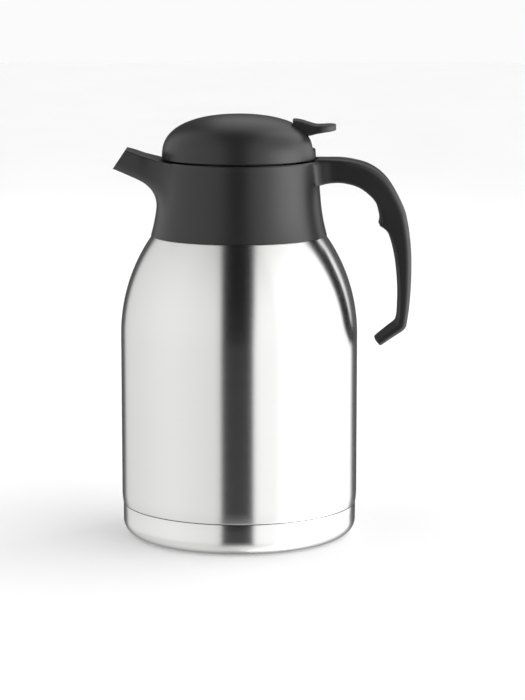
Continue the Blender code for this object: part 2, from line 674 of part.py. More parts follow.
def make_dome():
    outer = dome_line(0.0, 9)[:-1]
    inner = dome_line(DOME_WALL, 8)[:-1]
    rim = [(DOME_R, DOME_RIM_Z), (DOME_R, DOME_FOOT_Z + DOME_EDGE), (DOME_R - DOME_EDGE, DOME_FOOT_Z),
           (DOME_R - DOME_WALL, DOME_FOOT_Z)]
    dome = turned("lid_dome", outer + rim + inner[::-1], BLACK, closed=False)
    half = LEVER_HALF_WIDTH + SLOT_CLEARANCE
    cut(dome, block("lever_slot", (SLOT_FRONT_X, -half, SLOT_FLOOR_Z), (PADDLE_TIP_X + 3.0, half, 260.0)))


def paddle_half_width(x):
    if x <= PADDLE_END_X:
        return LEVER_HALF_WIDTH
    t = (x - PADDLE_END_X) / (PADDLE_TIP_X - PADDLE_END_X)
    return LEVER_HALF_WIDTH * sqrt(1.0 - t * t)


def make_lever():
    rings = []
    for x, top, bottom in through_keys(PADDLE_KEYS, 2):
        rings.append(section((x, top, x, bottom, paddle_half_width(x)), *PADDLE_ROUNDS, 2))
    lever = loft("lever", rings, BLACK)

    pivot_x, pivot_z = PIVOT
    arm = arc(0.0, ARM_TIP_Z, ARM_TIP_R, 90.0, 270.0, 6) + [ARM_UNDERSIDE]
    arm += arc(pivot_x, pivot_z, HUB_R, 230.0, 320.0, 3) + ARM_TOP
    add(lever, plate_along_y("lever_arm", arm, -ARM_HALF, ARM_HALF))
    hub_ends = ((pivot_x, -HUB_HALF, pivot_z), (pivot_x, HUB_HALF, pivot_z))
    add(lever, rod("lever_hub", *hub_ends, HUB_R, steps=COARSE, group=CUTTERS))
    cut(lever, block("stem_fork", *STEM_FORK))
    hole_ends = ((pivot_x, -PIN_HALF, pivot_z), (pivot_x, PIN_HALF, pivot_z))
    cut(lever, rod("hub_hole", *hole_ends, PIN_WAY_R, group=CUTTERS))

    origin = Vector((pivot_x, 0.0, pivot_z)) * MM
    lever.data.transform(Matrix.Translation(-origin))
    lever.location = origin


def make_valve():
    top_z = HEAD_Z + SPIGOT_LENGTH
    low_z = DISC_Z - DISC_STEP + 0.2
    stem = [
        (0.0, top_z), (SPIGOT_R, top_z), (SPIGOT_R, HEAD_Z - GAP), (STEM_R, HEAD_Z - GAP),
        (STEM_R, DISC_TOP_Z + GAP), (SPIGOT_R, DISC_TOP_Z + GAP), (SPIGOT_R, low_z), (0.0, low_z),
    ]
    turned("valve_stem", stem, BRIGHT_STEEL, SMALL, closed=False)
    turned("stem_cap", [(r, HEAD_Z + rise) for r, rise in CAP_LINE], DARK, SMALL)
    disc = [
        (DISC_HUB_R, DISC_TOP_Z), (DISC_R - 1.0, DISC_TOP_Z), (DISC_R, DISC_TOP_Z - 0.6), (DISC_R, DISC_Z),
        (DISC_STEP_R, DISC_Z), (DISC_STEP_R, DISC_Z - DISC_STEP), (DISC_HUB_R, DISC_Z - DISC_STEP),
    ]
    turned("valve_disc", disc, DARK, COARSE)
    flat_ring("valve_gasket", VALVE_GASKET, SILICONE, COARSE)


def make_spring():
    low = DISC_TOP_Z + GAP + SPRING_WIRE / 2
    high = SPRING_SEAT_Z - GAP - SPRING_WIRE / 2
    count = SPRING_TURNS * SPRING_FACETS
    curve = bpy.data.curves.new("valve_spring", "CURVE")
    curve.dimensions = "3D"
    curve.bevel_depth = SPRING_WIRE / 2 * MM
    curve.bevel_resolution = 1
    curve.use_fill_caps = True
    line = curve.splines.new("POLY")
    line.points.add(count)
    for i in range(count + 1):
        angle = 2 * pi * i / SPRING_FACETS
        spot = (SPRING_R * cos(angle), SPRING_R * sin(angle), low + (high - low) * i / count)
        line.points[i].co = (*(Vector(spot) * MM), 1.0)
    curve.materials.append(BRIGHT_STEEL)
    spring = bpy.data.objects.new("valve_spring", curve)
    JUG.objects.link(spring)


def main():
    make_outer_shell()
    make_inner_liner()
    make_base()
    make_collar()
    make_neck_ring()
    make_handle()
    make_stopper()
    make_deck()
    make_dome()
    make_lever()
    make_valve()
    make_spring()


main()
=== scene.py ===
"""Looks for the stainless-steel vacuum jug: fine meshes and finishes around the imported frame.

Sizes are in millimetres in the frame's own axes (origin at the centre of the base, +Z up,
spout to -X, handle to +X) and become metres where the meshes are made.
"""

from math import asin, atan2, cos, degrees, hypot, pi, radians, sin, sqrt, tan

import bmesh
import bpy
import numpy as np
from mathutils import Matrix, Vector


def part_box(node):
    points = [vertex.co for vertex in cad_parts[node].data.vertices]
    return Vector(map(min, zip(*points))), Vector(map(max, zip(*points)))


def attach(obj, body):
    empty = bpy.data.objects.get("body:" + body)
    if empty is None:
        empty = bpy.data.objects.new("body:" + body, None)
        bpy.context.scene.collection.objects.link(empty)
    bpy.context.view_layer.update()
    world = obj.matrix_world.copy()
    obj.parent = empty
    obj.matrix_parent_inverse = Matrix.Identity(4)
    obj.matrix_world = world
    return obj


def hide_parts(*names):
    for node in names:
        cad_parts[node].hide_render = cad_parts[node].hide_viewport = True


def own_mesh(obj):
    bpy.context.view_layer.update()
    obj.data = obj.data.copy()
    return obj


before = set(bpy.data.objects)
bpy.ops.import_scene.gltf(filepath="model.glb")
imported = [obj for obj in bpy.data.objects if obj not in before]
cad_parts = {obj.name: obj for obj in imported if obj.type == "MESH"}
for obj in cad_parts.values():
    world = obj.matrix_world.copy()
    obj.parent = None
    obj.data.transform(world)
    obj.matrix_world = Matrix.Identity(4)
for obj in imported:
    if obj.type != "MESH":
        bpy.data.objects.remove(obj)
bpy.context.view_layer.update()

MM = 0.001


def box_mm(node):
    """A node's lowest and highest corners, in millimetres."""
    return [[round(value / MM, 3) for value in corner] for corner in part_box(node)]


def round_box(node):
    """The outer radius, the foot and the top of a node that is turned about the jug's axis."""
    low, high = box_mm(node)
    return high[1], low[2], high[2]


def box_centre(node):
    return [(low + high) / 2 for low, high in zip(*box_mm(node))]


# Vessel
BODY_R, SHELL_FOOT_Z, SHELL_TOP_Z = round_box("outer_shell")
FOOT_R = 69.6                 # the shell is drawn in to this at its foot
FOOT_TOP_Z = 26.5
FOOT_LIFT = 0.25              # the drawn part of the side stays this clear of the rim's roll
RIM_R = 0.3                   # rounding of the shell's and the cup's rims
SHOULDER_Z = 120.0            # the straight side ends here
SHOULDER_R = 101.5            # radius of the shoulder's arc
SHELL_WALL = 0.6
SHELL_NECK_R = 41.0
SHELL_CROWN_Z = 179.0         # the shoulder turns in under the collar from here
SHELL_CROWN_R = 14.0
SHELL_CROWN_ANGLE = 65.0
CUP_R, CUP_FOOT_Z, CUP_TOP_Z = round_box("base_cup")
CUP_WALL = 0.8
CUP_CORNER_R = 9.0
CUP_SIDE_RISES = (5.0, 0.0)   # rings above the corner; a doubled one there keeps the side's shading flat

# Collar and spout
COLLAR_TOP_Z = 223.0
COLLAR_TOP_R = 46.3
COLLAR_TAPER = radians(4.7)
COLLAR_FLARE_Z = 199.5        # below this the collar flares out
COLLAR_FLARE_R = 48.2
COLLAR_FLARE_ARC = 105.0
COLLAR_FOOT_Z = box_mm("collar")[0][2]
COLLAR_WALL = 2.2
INNER_FLARE_Z = 190.0         # below this the collar's inside follows the steel
FOOT_SEAT = [(47.4, 183.5), (50.5, 180.4), (51.4, 179.2), (53.6, 176.0)]
MOUTH_R = 40.6
TOP_WALL = 1.6
ABOVE_Z = 235.0               # clear of everything on the jug's neck
SPOUT_KEYS = [                # top x, z, bottom x, z, half width
    (-40.0, 222.3, -40.0, 203.5, 15.5),
    (-43.0, 222.7, -44.0, 205.2, 15.5),
    (-47.0, 223.9, -48.0, 206.9, 15.5),
    (-51.0, 225.0, -52.5, 208.8, 15.2),
    (-56.0, 226.4, -58.5, 211.4, 14.6),
    (-61.3, 228.3, -65.5, 214.3, 13.0),
    (-66.3, 229.8, -74.3, 217.8, 11.0),
    (-71.3, 231.3, -83.1, 221.3, 9.0),
]
SPOUT_TIP = ((-66.3, 229.6), (-74.3, 217.8))
SPOUT_FILLET = 12.3           # blending widths: sides into wall, sides into underside, top edge
UNDER_ROUND = 11.0
TOP_ROUND = 1.2
BEAK_START = 38.0             # the beak's solid form begins this far out, inside the collar's wall
BEAK_START_ROUND = 0.5
CORE_R = 34.0                 # the collar's skin is found along rays from a core inside it
CORE_TOP_Z = 208.0
CORE_DROP = 6.0               # a wall ray starts this much higher than it aims, as far as the core goes
CORE_TO_WALL = 14.0
RAY_REACH = 60.0
CHANNEL_ROUNDS = (2.0, 5.5)
CHANNEL_KEYS = [
    (-37.0, 217.0, -37.0, 207.5, 11.8),
    (-46.0, 217.6, -46.0, 207.6, 11.8),
    (-52.5, 221.0, -53.5, 210.6, 11.8),
    (-60.2, 225.3, -63.6, 215.7, 11.0),
    (-67.2, 228.3, -73.4, 219.1, 9.4),
    (-70.9, 230.8, -77.1, 221.6, 9.4),
]
TUNNEL_LOW = (-47.0, -13.6, 205.8)                 # a box that joins the channel to the ring's window
TUNNEL_HIGH = (-40.0, 13.6, 219.3)
TUNNEL_GAP = 0.3

# Handle sections: outer x, z, inner x, z, half width
HANDLE_ROUNDS = (3.6, 1.6)    # at the outer and the inner edges
ROOT_FILLET = 4.5             # the root flares into the collar by this width
ROUND_TO_BLEND = 1.17         # a soft corner of this width times a radius looks like that radius
ROOT_END_X = 58.0
SEAT_GAP = 0.06
OUTSIDE_SMOOTHING = 14
HANDLE_KEYS = [
    (38.0, 224.1, 38.0, 205.0, 14.8),
    (44.0, 224.1, 44.0, 207.8, 14.8),
    (48.5, 224.1, 48.8, 209.4, 14.6),
    (54.0, 224.1, 54.5, 210.4, 14.0),
    (63.3, 223.8, 62.0, 210.2, 14.0),
    (77.5, 220.3, 71.4, 207.1, 13.9),
    (88.8, 211.1, 79.8, 199.5, 13.5),
    (96.9, 195.8, 83.1, 190.0, 12.9),
    (98.9, 188.3, 82.7, 185.2, 12.6),
]
GRIP_KEYS = [
    (98.9, 188.3, 82.7, 185.2, 12.6),
    (100.2, 181.0, 87.8, 180.4, 12.2),
    (101.5, 168.5, 92.0, 166.7, 11.8),
    (101.5, 150.0, 94.0, 149.0, 11.1),
    (100.2, 133.5, 93.9, 133.0, 10.5),
    (98.9, 125.2, 92.9, 127.6, 10.0),
]
HOOK_KEYS = [
    (98.9, 125.2, 92.9, 127.6, 10.0),
    (96.9, 122.5, 91.9, 126.5, 9.6),
    (90.4, 118.1, 86.6, 122.4, 9.1),
    (84.2, 113.8, 80.9, 117.7, 8.4),
    (83.2, 114.1, 81.1, 116.6, 7.4),
]

# Lid, lever and spring
DOME_R, DOME_FOOT_Z, DOME_TOP_Z = round_box("lid_dome")
DOME_BASE_Z = 224.0
DOME_RIM_Z = 225.7            # the dome's curve ends here, in a short upright rim
DOME_WALL = 1.9
DOME_EDGE = 0.5
DOME_EXPONENT_R = 2.2
DOME_EXPONENT_Z = 2.7
LEVER_HALF_WIDTH = box_mm("lever")[1][1]
SLOT_GAP = 0.35
SLOT_FRONT_X = 31.25
SLOT_FLOOR_Z = 229.5
PIN_HOLE_R = 1.8
HUB_R = 4.0
HUB_HALF = 7.5
ARM_HALF = 6.0
ARM_END = (0.0, 235.8, 2.2)   # centre x, centre z, radius, over the valve's stem
ARM_LOW = [(24.0, 233.2)]
ARM_TOP = [(36.5, 239.2), (33.0, 242.6), (28.0, 240.2), (22.0, 238.0)]
FORK = ((-8.0, -3.0, 230.0), (8.0, 3.0, 242.0))
PADDLE_ROUNDS = (1.3, 1.0)
PADDLE_KEYS = [               # x, top z, bottom z
    (31.7, 245.9, 241.0),
    (32.6, 246.8, 240.2),
    (36.0, 246.5, 238.2),
    (41.0, 245.1, 237.9),
    (45.5, 243.8, 238.9),
    (50.0, 243.8, 239.7),
    (54.0, 244.1, 240.2),
    (57.0, 244.0, 240.8),
]
PADDLE_END_X = 47.0
PADDLE_TIP_X = 58.0
SPRING_R = 6.6
SPRING_WIRE = 0.9
SPRING_TURNS = 5
SPRING_LOW_Z = 192.0
SPRING_TOP_Z = 212.7
SPRING_WAY = (0.0, 0.12, 0.88, 1.0)                # shares of the wire's run, and of the rise there
SPRING_RISE = (0.0, 0.07, 0.93, 1.0)

# Liner, neck ring and stopper
LINER_R, LINER_FLOOR_Z, LIP_TOP_Z = round_box("inner_liner")
LINER_WALL = 0.5
LINER_NECK_R = 38.6
LINER_CORNER_R = 12.0
LINER_CROWN_R = 8.0
LINER_CROWN_ANGLE = 60.0
LIP_Z = 199.0
LIP_ROUND = 0.3
RING_SKIRT_R, RING_SKIRT_FOOT_Z, RING_TOP_Z = round_box("neck_ring")
RING_OUTER_R = 42.2
RING_SLEEVE_R = 40.0
RING_STEP_Z = 204.7
RING_SKIRT_INNER_R = 41.5
LEDGE_Z = 201.5
LEDGE_TOP_Z = 203.5
LEDGE_R = 36.0
RING_WINDOW = ((-50.0, -12.0, 207.0), (-30.0, 12.0, 217.6))
STOPPER_R = 37.9
STOPPER_INNER_R = 36.0
STOPPER_TOP_Z = box_mm("stopper_body")[1][2]
STOPPER_STEP_Z = 206.3
PLUG_R = 33.7
PLUG_INNER_R = 32.0
PLUG_Z = box_mm("stopper_body")[0][2]
PLUG_EDGE = 1.5
FLOOR_WALL = 2.0
SEAT_R = 14.0
MOULDED_EDGE = 0.4
STOPPER_WINDOW = ((-50.0, -11.0, 208.7), (-25.0, 11.0, 216.8))
LID_SCREWS = ("lid_screw_1", "lid_screw_2", "lid_screw_3")
BOSS = (217.4, STOPPER_TOP_Z - 0.05, 3.8, 48)      # low z, high z, radius, facets
BOSS_HOLE = (218.6, 226.0, 1.5, 24)
LEAD = 15.0                   # rise of the lid for one turn
STARTS = 3
THREAD_Z = 210.0              # where the neck ring's ridges begin
THREAD_START = 17.0           # degrees
THREAD_SWEEP = 160.0
RIDGE_HEIGHT = 1.7
RIDGE_ROOTED = 0.4            # how far a ridge reaches into its wall
RIDGE_ROOT_HALF = 1.0         # half its width at the wall and at the crest
RIDGE_CREST_HALF = 0.6
GASKET_BORE_R = {"mouth_gasket": 38.2, "stopper_gasket": 34.0}
GASKET_ROUND = 0.35
O_RING = (38.9, 220.6, 0.75)  # centre radius, centre z, thickness radius

ROUND = 192                   # facets round the large turned pieces
HALVINGS = 34                 # steps of a search along a ray
WIDEST_ROUND = 0.46           # share of a section's lesser side that one corner may take up
SHARP_ANGLE = 32.0            # degrees

# Camera and studio, in metres and degrees
CAMERA_PLACE = (0.01387, -1.48265, 0.34904)
CAMERA_TILT = 80.834
CAMERA_LENS = 129.77          # millimetres, on a sensor 36 mm wide
FLOOR_R = 6.0
WALL_LIGHT = [                # degrees round the jug from the front (+ to the right), and strength
    (-180.0, 0.08), (-153.0, 0.08), (-149.0, 0.20), (-143.5, 0.86), (-126.0, 0.97), (-110.0, 1.03),
    (-86.0, 1.12), (-66.0, 1.15), (-48.0, 1.11), (-31.0, 1.07), (-18.0, 1.03), (14.0, 1.40),
    (30.0, 1.41), (38.0, 1.38), (46.0, 2.00), (55.0, 3.10), (65.0, 3.80), (80.0, 4.10), (95.0, 3.30),
    (108.0, 2.10), (118.0, 1.50), (128.0, 1.60), (139.5, 1.60), (143.0, 0.60), (146.0, 0.10),
    (180.0, 0.08),
]
WALL_PEAK = 4.2
# How the light changes with its direction's x, y or z: from, to, and its value at each (or 0 and 1)
WALL_LIMIT = (0.15, 0.5, WALL_PEAK, 1.6)           # over z: the walls get no stronger than this
GROUND_LIGHT = (-0.12, -0.45, 0.0, 0.4)            # over z: a weak light from below
HIGH_FADE = (0.3, 1.1, 1.0, 0.68)
OVERHEAD_FADE = (0.85, 1.0, 1.0, 0.5)
GROUND_FADE = (-0.19, -0.45, 1.0, 0.85)
OPENING_LEFT = (-0.2725, -0.2925)                  # over x: the dark opening in front ends here
OPENING_RIGHT = (0.225, 0.245)
OPENING_RIGHT_LEAN = (-0.15, 0.35, 0.0, 0.028)     # over z: how far the right edge moves out
OPENING_BACK = (0.05, 0.45)                        # over y
OPENING_FOOT = (-0.45, -0.80)                      # over z
LEAST_LIGHT = 0.012
BACKDROP_LIGHT = 0.965        # what the camera sees behind the jug
TOP_LIGHT_PLACE = (0.35, 1.0, 1.4)
TOP_LIGHT_AIM = (0.0, 0.0, 0.2)
TOP_LIGHT_SIZE = 1.4
TOP_LIGHT_ENERGY = 5.4
FLOOR_FILL_ENERGY = 1.05
FLOOR_FILL_ANGLE = 110.0


# Mesh helpers ------------------------------------------------------------------------------

def link(name, bm, material=None):
    """A new piece from a bmesh; one that is still to be cut or joined gets its material later."""
    bmesh.ops.recalc_face_normals(bm, faces=bm.faces)
    mesh = bpy.data.meshes.new(name)
    bm.to_mesh(mesh)
    bm.free()
    piece = bpy.data.objects.new(name, mesh)
    bpy.context.scene.collection.objects.link(piece)
    return dress(piece, material) if material else piece


def dress(piece, material):
    """Gives a finished piece its one material, and shades it smooth between its sharp edges."""
    piece.data.materials.clear()
    piece.data.materials.append(material)
    piece.data.shade_smooth()
    piece.data.set_sharp_from_angle(angle=radians(SHARP_ANGLE))
    return piece


def arc(centre_r, centre_z, radius, start, end, steps):
    turns = [radians(start + (end - start) * i / steps) for i in range(steps + 1)]
    return [(centre_r + radius * cos(a), centre_z + radius * sin(a)) for a in turns]


def grid_skin(name, rows, material=None):
    """A closed skin over rings of (x, y, z) points, with a face over the first and the last ring."""
    bm = bmesh.new()
    rings = [[bm.verts.new(Vector(p) * MM) for p in row] for row in rows]
    count = len(rings[0])
    for low, high in zip(rings, rings[1:]):
        for i in range(count):
            j = (i + 1) % count
            bm.faces.new((low[i], low[j], high[j], high[i]))
    bm.faces.new(rings[0])
    bm.faces.new(rings[-1])
    return link(name, bm, material)


def turned(name, profile, material=None, steps=ROUND, closed=True):
    """A profile of (r, z) points turned about Z; points on the axis become one vertex."""
    bm = bmesh.new()
    turns = [2 * pi * i / steps for i in range(steps)]
    rings = []
    for r, z in profile:
        if r > 0.0:
            rings.append([bm.verts.new((r * cos(a) * MM, r * sin(a) * MM, z * MM)) for a in turns])
        else:
            rings.append([bm.verts.new((0.0, 0.0, z * MM))])
    pairs = list(zip(rings, rings[1:]))
    if closed:
        pairs.append((rings[-1], rings[0]))
    for low, high in pairs:
        for i in range(steps):
            j = (i + 1) % steps
            ring = [low[i % len(low)], low[j % len(low)], high[j % len(high)], high[i % len(high)]]
            ring = list(dict.fromkeys(ring))
            if len(ring) > 2:
                bm.faces.new(ring)
    return link(name, bm, material)


def rod(name, start, end, radius, steps=48):
    start, end = Vector(start) * MM, Vector(end) * MM
    along = end - start
    place = Matrix.Translation((start + end) / 2) @ along.to_track_quat("Z", "Y").to_matrix().to_4x4()
    bm = bmesh.new()
    bmesh.ops.create_cone(bm, cap_ends=True, segments=steps, radius1=radius * MM,
                          radius2=radius * MM, depth=along.length, matrix=place)
    return link(name, bm)


def block(name, low, high):
    low, high = Vector(low) * MM, Vector(high) * MM
    bm = bmesh.new()
    size = Matrix.Diagonal((*(high - low), 1.0))
    bmesh.ops.create_cube(bm, size=1.0, matrix=Matrix.Translation((low + high) / 2) @ size)
    return link(name, bm)


def plate_along_y(name, outline, half_width):
    return grid_skin(name, [[(x, y, z) for x, z in outline] for y in (-half_width, half_width)])


def combine(piece, other, operation):
    """Applies one exact boolean at once and removes the other mesh."""
    modifier = piece.modifiers.new("shape", "BOOLEAN")
    modifier.operation = operation
    modifier.solver = "EXACT"
    modifier.object = other
    evaluated = piece.evaluated_get(bpy.context.evaluated_depsgraph_get())
    before, after = piece.data, bpy.data.meshes.new_from_object(evaluated)
    piece.modifiers.clear()
    piece.data = after
    bpy.data.meshes.remove(before)
    bpy.data.objects.remove(other, do_unlink=True)


def cut(piece, other):
    combine(piece, other, "DIFFERENCE")


def add(piece, other):
    combine(piece, other, "UNION")


def through_keys(keys, steps):
    """A smooth run through key sections: Catmull-Rom on every number of the key."""
    padded = [keys[0]] + list(keys) + [keys[-1]]
    run = [tuple(keys[0])]
    for a, b, c, d in zip(padded, padded[1:], padded[2:], padded[3:]):
        for i in range(1, steps + 1):
            t = i / steps
            run.append(tuple(
                0.5 * (2 * q + (r - p) * t + (2 * p - 5 * q + 4 * r - s) * t * t
                       + (3 * q - p - 3 * r + s) * t ** 3)
                for p, q, r, s in zip(a, b, c, d)))
    return run


def section(key, outer_round, inner_round, corner_steps=8, side_steps=6):
    """A rounded rectangle across Y, from the key's inner point to its outer point."""
    outer_x, outer_z, inner_x, inner_z, half = key
    depth = hypot(outer_x - inner_x, outer_z - inner_z)
    limit = WIDEST_ROUND * min(depth, 2 * half)
    big, small = min(outer_round, limit), min(inner_round, limit)
    corners = [
        (half - big, depth - big, big, 0.0),
        (big - half, depth - big, big, 90.0),
        (small - half, small, small, 180.0),
        (half - small, small, small, 270.0),
    ]
    rounds = [arc(y, v, radius, start, start + 90.0, corner_steps) for y, v, radius, start in corners]
    outline = []
    for round_points, following in zip(rounds, rounds[1:] + rounds[:1]):
        (from_y, from_v), (to_y, to_v) = round_points[-1], following[0]
        outline += round_points
        outline += [(from_y + (to_y - from_y) * i / side_steps, from_v + (to_v - from_v) * i / side_steps)
                    for i in range(1, side_steps)]
    points = []
    for side, up in outline:
        t = up / depth
        points.append((inner_x + (outer_x - inner_x) * t, side, inner_z + (outer_z - inner_z) * t))
    return points


# Materials ---------------------------------------------------------------------------------

class Nodes:
    """Adds nodes to a node tree."""

    def __init__(self, tree):
        self.tree = tree

    def node(self, kind, **settings):
        node = self.tree.nodes.new(kind)
        for name, value in settings.items():
            setattr(node, name, value)
        return node

    def wire(self, output, target):
        self.tree.links.new(output, target)

    def maths(self, operation, a, b):
        node = self.node("ShaderNodeMath", operation=operation)
        for socket, value in zip(node.inputs, (a, b)):
            if isinstance(value, (int, float)):
                socket.default_value = value
            else:
                self.wire(value, socket)
        return node.outputs["Value"]

    def weigh(self, a, share, b):
        """The sum of a share of one value and the rest of another."""
        return self.maths("ADD", self.maths("MULTIPLY", a, share), self.maths("MULTIPLY", b, 1.0 - share))

    def map_range(self, value, from_low, from_high, low=0.0, high=1.0, curve="LINEAR"):
        ranges = self.node("ShaderNodeMapRange", interpolation_type=curve)
        sockets = ("From Min", "From Max", "To Min", "To Max")
        for socket, number in zip(sockets, (from_low, from_high, low, high)):
            ranges.inputs[socket].default_value = number
        self.wire(value, ranges.inputs["Value"])
        return ranges.outputs["Result"]


class Finish(Nodes):
    """Builds one node material round its Principled shader."""

    def __init__(self, name, colour, roughness, **constants):
        self.material = bpy.data.materials.new(name)
        self.material.use_nodes = True
        super().__init__(self.material.node_tree)
        self.shader = self.tree.nodes["Principled BSDF"]
        self.shader.inputs["Base Color"].default_value = (*colour, 1.0)
        self.shader.inputs["Roughness"].default_value = roughness
        for socket, value in constants.items():
            self.shader.inputs[socket.replace("_", " ")].default_value = value
        self.place = self.node("ShaderNodeTexCoord").outputs["Object"]

    def noise(self, scale, stretch=(1.0, 1.0, 1.0), detail=3.0, rough=0.55):
        mapping = self.node("ShaderNodeMapping")
        mapping.inputs["Scale"].default_value = stretch
        texture = self.node("ShaderNodeTexNoise")
        texture.inputs["Scale"].default_value = scale
        texture.inputs["Detail"].default_value = detail
        texture.inputs["Roughness"].default_value = rough
        self.wire(self.place, mapping.inputs["Vector"])
        self.wire(mapping.outputs["Vector"], texture.inputs["Vector"])
        return texture.outputs["Fac"]

    def spread(self, noise, low, high):
        """Maps the usual range of a noise on to low..high."""
        return self.map_range(noise, 0.3, 0.7, low, high)

    def blend(self, factor, dark, light):
        mix = self.node("ShaderNodeMix", data_type="RGBA")
        colours = [s for s in mix.inputs if s.type == "RGBA"]
        for socket, value in zip(colours, (dark, light)):
            if isinstance(value, tuple):
                socket.default_value = (*value, 1.0)
            else:
                self.wire(value, socket)
        self.wire(factor, mix.inputs["Factor"])
        return [s for s in mix.outputs if s.type == "RGBA"][0]

    def bump(self, height, strength, distance, below=None):
        node = self.node("ShaderNodeBump")
        node.inputs["Strength"].default_value = strength
        node.inputs["Distance"].default_value = distance
        self.wire(height, node.inputs["Height"])
        if below:
            self.wire(below, node.inputs["Normal"])
        return node.outputs["Normal"]

    def edge_wear(self):
        """0 on flat faces to 1 on outer edges."""
        return self.map_range(self.node("ShaderNodeNewGeometry").outputs["Pointiness"], 0.52, 0.60)

    def drive(self, socket, value):
        self.wire(value, self.shader.inputs[socket])

    def mottle(self, noise, dark, light):
        """Lets the base colour drift between two near tones."""
        self.drive("Base Color", self.blend(self.spread(noise, 0.0, 1.0), dark, light))


def brushed_steel(name, roughness, grain):
    """Steel brushed round the axis: reflections stay narrow sideways and smear up and down."""
    finish = Finish(name, (0.70, 0.70, 0.695), roughness, Metallic=1.0, Anisotropic=0.88,
                    Anisotropic_Rotation=0.25)
    tangent = finish.node("ShaderNodeTangent", direction_type="RADIAL", axis="Z")
    finish.drive("Tangent", tangent.outputs["Tangent"])
    fine = finish.noise(1.0, (45.0, 45.0, 5200.0), 2.0)
    coarse = finish.noise(1.0, (22.0, 22.0, 900.0), 3.0)
    cloud = finish.noise(14.0, detail=4.0)
    streaks = finish.weigh(fine, 0.6, coarse)
    tone = finish.weigh(streaks, 0.7, cloud)
    worn = finish.maths("MULTIPLY", finish.edge_wear(), 0.5)
    brushed = finish.blend(finish.spread(tone, 0.0, 1.0), (0.685, 0.685, 0.68), (0.715, 0.715, 0.71))
    finish.drive("Base Color", finish.blend(worn, brushed, (0.78, 0.78, 0.775)))
    finish.drive("Roughness", finish.maths("ADD", finish.spread(streaks, -grain, grain), roughness))
    finish.drive("Normal", finish.bump(streaks, 0.06, 0.00001))
    return finish.material


def moulded_plastic(name, dark, light, roughness, specular, wear):
    """Moulded plastic with a fine spark-eroded grain, faint flow marks and burnished edges."""
    finish = Finish(name, dark, roughness, Specular_IOR_Level=specular)
    grain = finish.noise(2600.0, detail=2.0)
    pores = finish.noise(700.0, detail=3.0)
    flow = finish.noise(9.0, (1.0, 1.0, 2.2), 3.0)
    edge = finish.edge_wear()
    rubbed = finish.maths("MULTIPLY", edge, finish.spread(finish.noise(160.0, detail=4.0), 0.2, 1.0))
    body = finish.blend(finish.spread(flow, 0.0, 1.0), dark, light)
    burnished = tuple(2.6 * value + 0.02 for value in light)
    finish.drive("Base Color", finish.blend(finish.maths("MULTIPLY", rubbed, wear), body, burnished))
    softness = finish.maths("ADD", finish.spread(flow, roughness - 0.025, roughness + 0.025),
                            finish.spread(grain, -0.03, 0.03))
    finish.drive("Roughness", finish.maths("SUBTRACT", softness, finish.maths("MULTIPLY", rubbed, 0.06)))
    finish.drive("Normal", finish.bump(grain, 0.22, 0.00003, finish.bump(pores, 0.10, 0.00004)))
    return finish.material


def polished_steel(name):
    finish = Finish(name, (0.72, 0.72, 0.71), 0.2, Metallic=1.0)
    scuffs = finish.noise(900.0, (1.0, 1.0, 0.2), 4.0)
    cloud = finish.noise(120.0, detail=3.0)
    finish.mottle(cloud, (0.66, 0.66, 0.65), (0.76, 0.76, 0.75))
    finish.drive("Roughness", finish.spread(scuffs, 0.14, 0.30))
    finish.drive("Normal", finish.bump(scuffs, 0.08, 0.00001))
    return finish.material


def silicone_rubber(name):
    finish = Finish(name, (0.46, 0.46, 0.45), 0.55, Subsurface_Weight=0.12, Subsurface_Scale=0.002)
    film = finish.noise(260.0, detail=4.0)
    grain = finish.noise(3200.0, detail=2.0)
    finish.mottle(film, (0.42, 0.42, 0.41), (0.52, 0.52, 0.50))
    finish.drive("Roughness", finish.spread(film, 0.46, 0.64))
    finish.drive("Normal", finish.bump(grain, 0.15, 0.00002))
    return finish.material


def solder_glass(name):
    finish = Finish(name, (0.25, 0.26, 0.27), 0.25, Coat_Weight=0.4, Coat_Roughness=0.12)
    swirl = finish.noise(420.0, detail=5.0)
    finish.mottle(swirl, (0.20, 0.21, 0.23), (0.33, 0.34, 0.35))
    finish.drive("Roughness", finish.spread(swirl, 0.2, 0.38))
    finish.drive("Normal", finish.bump(swirl, 0.3, 0.0002))
    return finish.material


def floor_paint(name):
    finish = Finish(name, (0.955, 0.955, 0.955), 0.7)
    patches = finish.noise(5.0, detail=4.0)
    finish.mottle(patches, (0.95, 0.95, 0.95), (0.96, 0.96, 0.96))
    finish.drive("Roughness", finish.spread(patches, 0.66, 0.76))
    finish.drive("Normal", finish.bump(finish.noise(300.0), 0.05, 0.0001))
    return finish.material


STEEL = brushed_steel("steel_brushed", roughness=0.25, grain=0.015)
LINER_STEEL = brushed_steel("steel_liner", roughness=0.40, grain=0.04)
BLACK = moulded_plastic("plastic_black", (0.0075, 0.0075, 0.0075), (0.0095, 0.0095, 0.0092),
                        roughness=0.37, specular=0.48, wear=0.3)
INNER = moulded_plastic("plastic_inner", (0.045, 0.045, 0.046), (0.058, 0.058, 0.058),
                        roughness=0.46, specular=0.5, wear=0.25)
BRIGHT = polished_steel("steel_bright")
SILICONE = silicone_rubber("silicone_grey")
GLASS = solder_glass("glass_solder")
FLOOR = floor_paint("floor_paint")


# Pieces ------------------------------------------------------------------------------------

def place(piece, body, slot, node):
    """The piece stands for a CAD node, whose mesh it hides, and moves with its body; the slot is not used."""
    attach(piece, body)
    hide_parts(node)
    return piece


